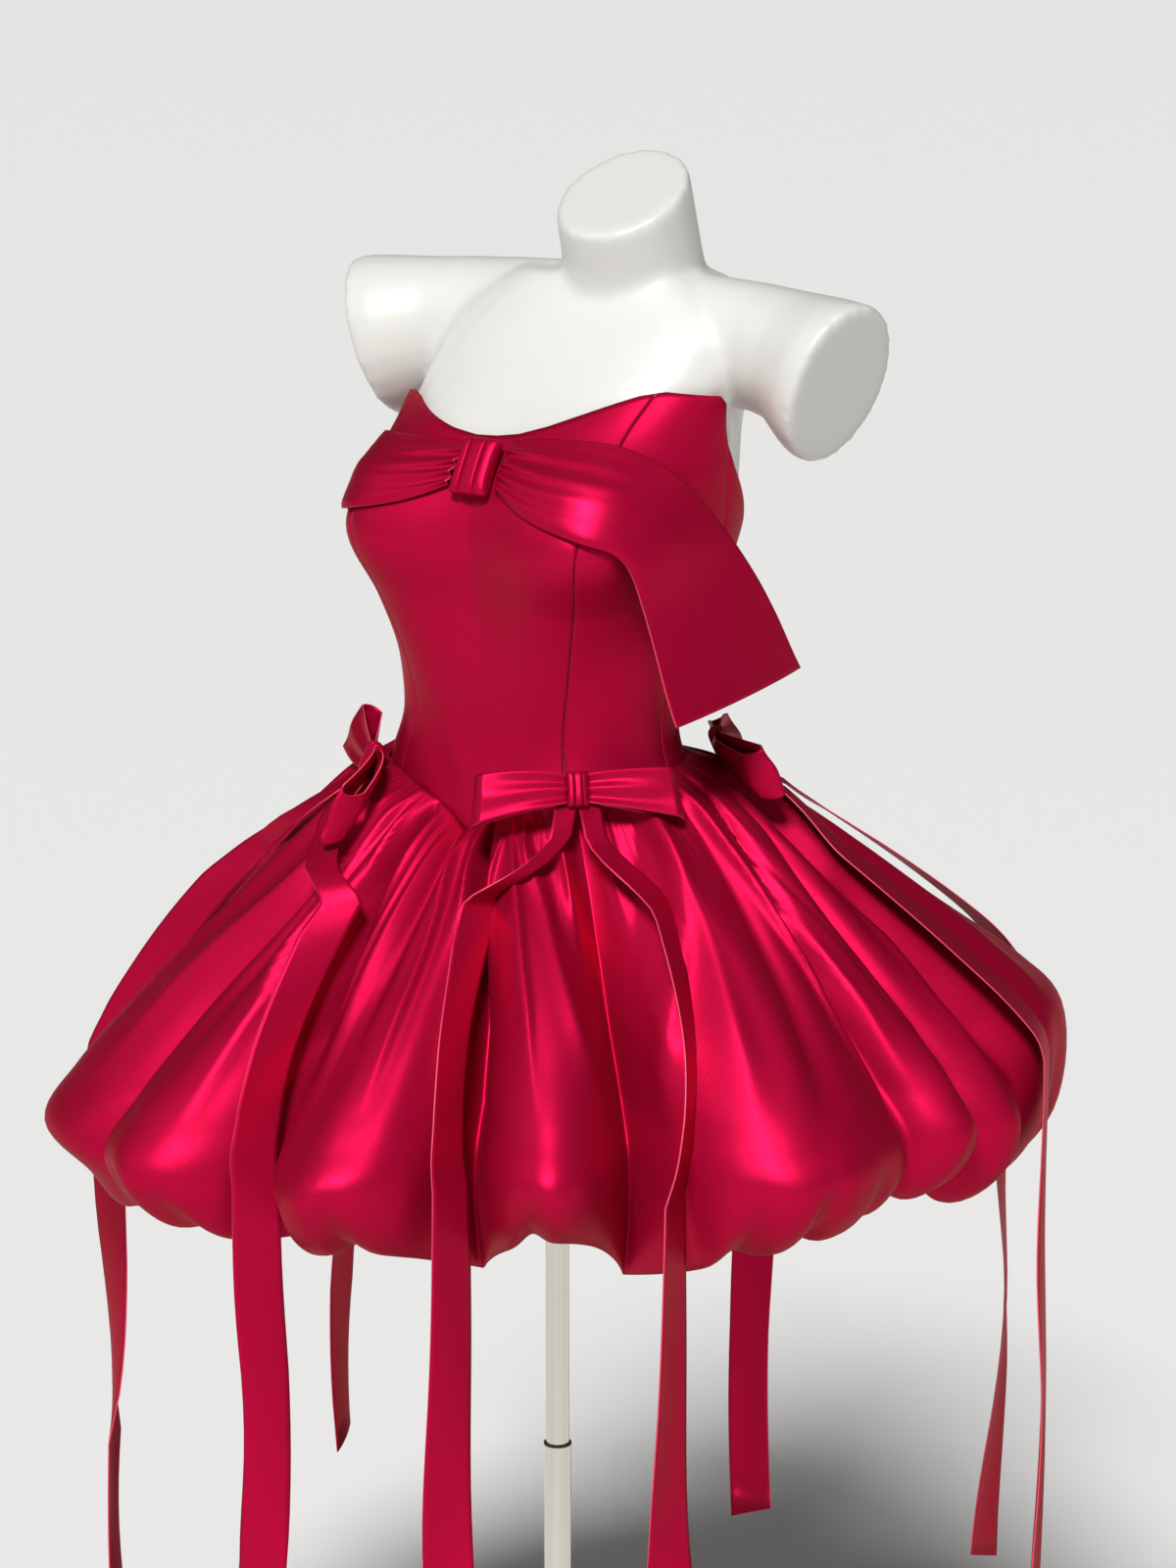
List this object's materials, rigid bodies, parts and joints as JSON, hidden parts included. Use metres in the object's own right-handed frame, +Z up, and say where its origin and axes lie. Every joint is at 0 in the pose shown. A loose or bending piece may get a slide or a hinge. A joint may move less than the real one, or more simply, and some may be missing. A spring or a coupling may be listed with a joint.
{
  "type": "party dress on limbless dress form with pole stand",
  "caption": "Strapless satin party dress with a pointed bodice, bust bow, waist bows with long streamers and a gathered bubble skirt, on a limbless form with a pole and round base.",
  "frame": {"origin": "centre of the stand's underside, on the floor", "axes": "+Z up along the pole, -Y the way the wearer faces, +X towards the wearer's left"},
  "size_m": [0.7659, 0.7695, 1.5174],
  "materials": {
    "satin_cloth": "satin sheen",
    "satin_ribbon": "satin sheen",
    "form_shell": "matte white",
    "stand_steel": "polished"
  },
  "bodies": {
    "root": {"bodice_back_left": "satin_cloth", "bodice_back_right": "satin_cloth", "bodice_front": "satin_cloth", "bodice_side_back_left": "satin_cloth", "bodice_side_back_right": "satin_cloth", "bodice_side_front_left": "satin_cloth", "bodice_side_front_right": "satin_cloth", "bow_left_back_knot": "satin_ribbon", "bow_left_back_loop_a": "satin_ribbon", "bow_left_back_loop_b": "satin_ribbon", "bow_left_back_streamer_a": "satin_ribbon", "bow_left_back_streamer_b": "satin_ribbon", "bow_left_front_knot": "satin_ribbon", "bow_left_front_loop_a": "satin_ribbon", "bow_left_front_loop_b": "satin_ribbon", "bow_left_front_streamer_a": "satin_ribbon", "bow_left_front_streamer_b": "satin_ribbon", "bow_right_back_knot": "satin_ribbon", "bow_right_back_loop_a": "satin_ribbon", "bow_right_back_loop_b": "satin_ribbon", "bow_right_back_streamer_a": "satin_ribbon", "bow_right_back_streamer_b": "satin_ribbon", "bow_right_front_knot": "satin_ribbon", "bow_right_front_loop_a": "satin_ribbon", "bow_right_front_loop_b": "satin_ribbon", "bow_right_front_streamer_a": "satin_ribbon", "bow_right_front_streamer_b": "satin_ribbon", "bust_bow_knot": "satin_ribbon", "bust_bow_wing_left": "satin_ribbon", "bust_bow_wing_right": "satin_ribbon", "dress_form": "form_shell", "pole_lower": "stand_steel", "pole_upper": "stand_steel", "skirt_back_left": "satin_cloth", "skirt_back_right": "satin_cloth", "skirt_front": "satin_cloth", "stand_base": "stand_steel"}
  },
  "joints": []
}
